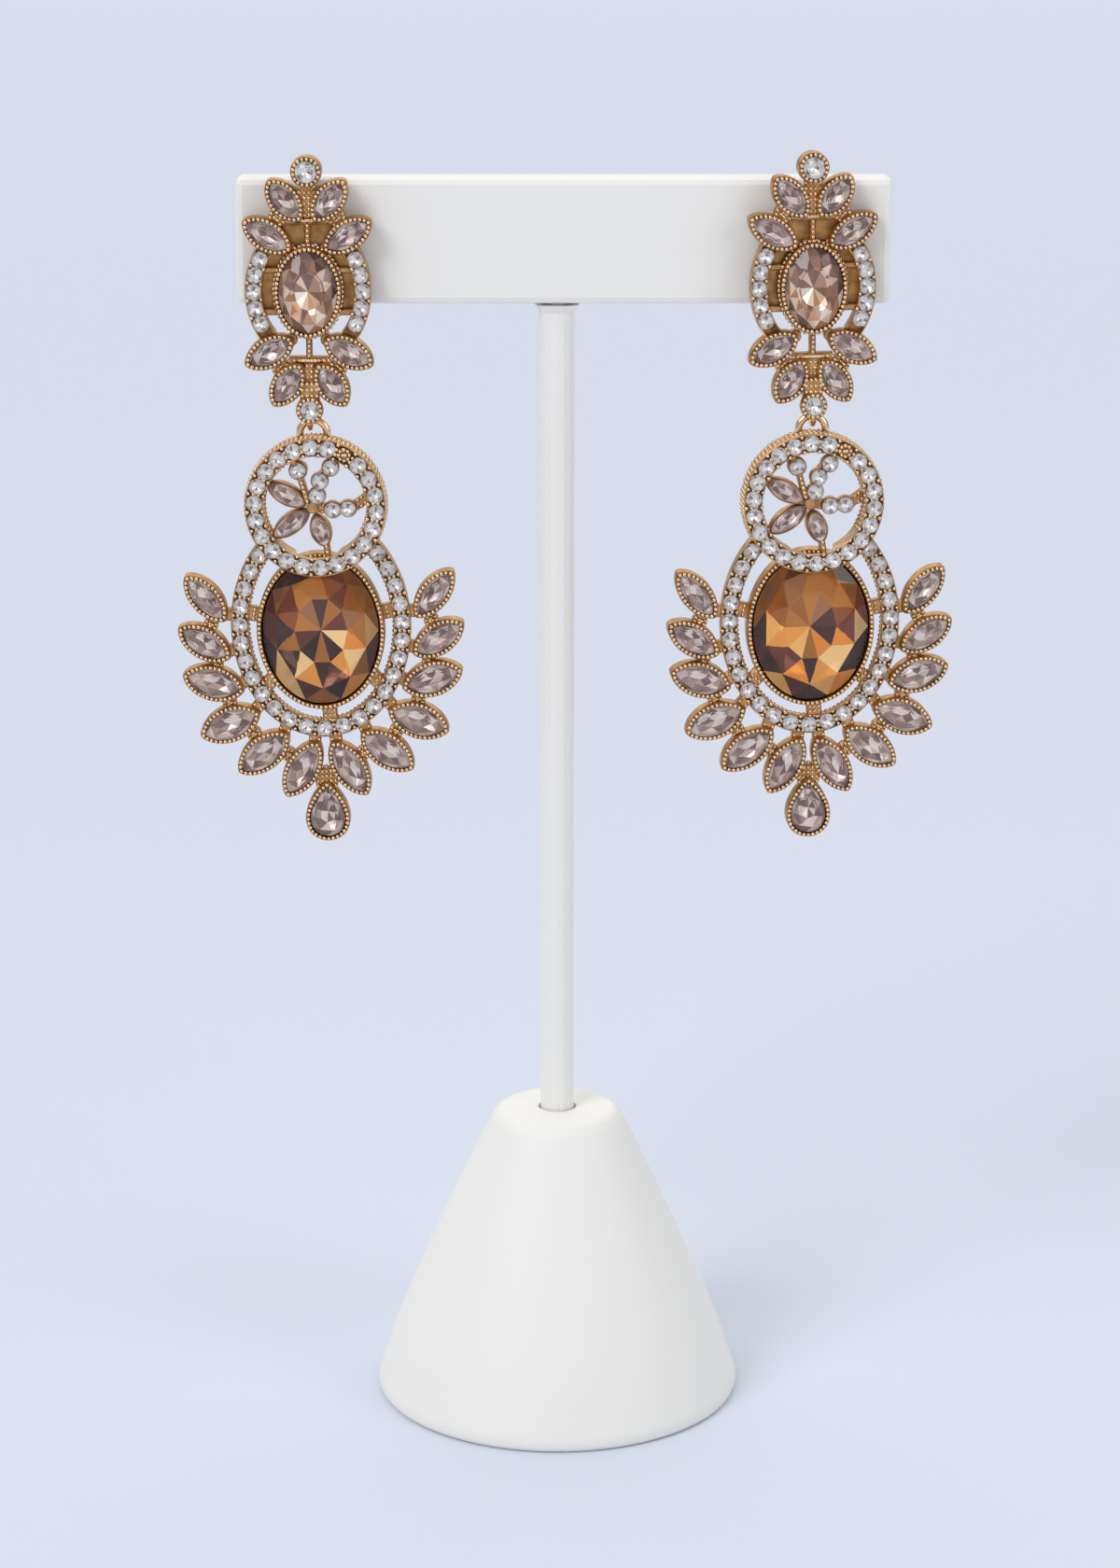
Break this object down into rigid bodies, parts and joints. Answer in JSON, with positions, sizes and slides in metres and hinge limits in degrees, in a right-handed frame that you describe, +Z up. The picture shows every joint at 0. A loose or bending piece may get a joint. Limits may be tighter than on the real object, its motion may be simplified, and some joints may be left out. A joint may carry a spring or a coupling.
{
  "type": "pair of chandelier earrings on a display stand",
  "caption": "Pair of chandelier earrings with oval, leaf and pear stones and hinged drops, hanging on a T-shaped stand with a cone base.",
  "frame": {"origin": "centre of the stand's foot, on the surface that it stands on", "axes": "+X to the right as the jewels are seen, -Y towards the viewer, +Z up"},
  "size_m": [0.0942, 0.0462, 0.1583],
  "materials": {
    "gold_plate": "antique gold plate",
    "topaz_glass": "faceted topaz-brown glass",
    "champagne_glass": "faceted champagne glass",
    "smoky_glass": "faceted smoky rose glass",
    "ivory_cover": "matte ivory"
  },
  "bodies": {
    "display": {"stand_base": "ivory_cover", "stand_stem": "ivory_cover", "stand_bar": "ivory_cover", "left_stud_frame": "gold_plate", "left_stud_oval": "champagne_glass", "left_stud_leaf_1": "smoky_glass", "left_stud_leaf_2": "smoky_glass", "left_stud_leaf_3": "smoky_glass", "left_stud_leaf_4": "smoky_glass", "left_stud_leaf_5": "smoky_glass", "left_stud_leaf_6": "smoky_glass", "left_stud_leaf_7": "smoky_glass", "left_stud_leaf_8": "smoky_glass", "right_stud_frame": "gold_plate", "right_stud_oval": "champagne_glass", "right_stud_leaf_1": "smoky_glass", "right_stud_leaf_2": "smoky_glass", "right_stud_leaf_3": "smoky_glass", "right_stud_leaf_4": "smoky_glass", "right_stud_leaf_5": "smoky_glass", "right_stud_leaf_6": "smoky_glass", "right_stud_leaf_7": "smoky_glass", "right_stud_leaf_8": "smoky_glass"},
    "left_drop": {"left_drop_frame": "gold_plate", "left_main_stone": "topaz_glass", "left_drop_leaf_1": "smoky_glass", "left_drop_leaf_2": "smoky_glass", "left_drop_leaf_3": "smoky_glass", "left_drop_leaf_4": "smoky_glass", "left_drop_leaf_5": "smoky_glass", "left_drop_leaf_6": "smoky_glass", "left_drop_leaf_7": "smoky_glass", "left_drop_leaf_8": "smoky_glass", "left_drop_leaf_9": "smoky_glass", "left_drop_leaf_10": "smoky_glass", "left_drop_leaf_11": "smoky_glass", "left_drop_leaf_12": "smoky_glass", "left_pear_stone": "smoky_glass"},
    "right_drop": {"right_drop_frame": "gold_plate", "right_main_stone": "topaz_glass", "right_drop_leaf_1": "smoky_glass", "right_drop_leaf_2": "smoky_glass", "right_drop_leaf_3": "smoky_glass", "right_drop_leaf_4": "smoky_glass", "right_drop_leaf_5": "smoky_glass", "right_drop_leaf_6": "smoky_glass", "right_drop_leaf_7": "smoky_glass", "right_drop_leaf_8": "smoky_glass", "right_drop_leaf_9": "smoky_glass", "right_drop_leaf_10": "smoky_glass", "right_drop_leaf_11": "smoky_glass", "right_drop_leaf_12": "smoky_glass", "right_pear_stone": "smoky_glass"}
  },
  "joints": [
    {"name": "left_drop_swing", "type": "hinge", "parent": "display", "child": "left_drop", "pos_m": [-0.02925, -0.00445, 0.1263], "axis": [1, 0, 0], "range_deg": [-45, 45]},
    {"name": "right_drop_swing", "type": "hinge", "parent": "display", "child": "right_drop", "pos_m": [0.03056, -0.00443, 0.1268], "axis": [0.9969, 0.0785, 0], "range_deg": [-45, 45]}
  ]
}
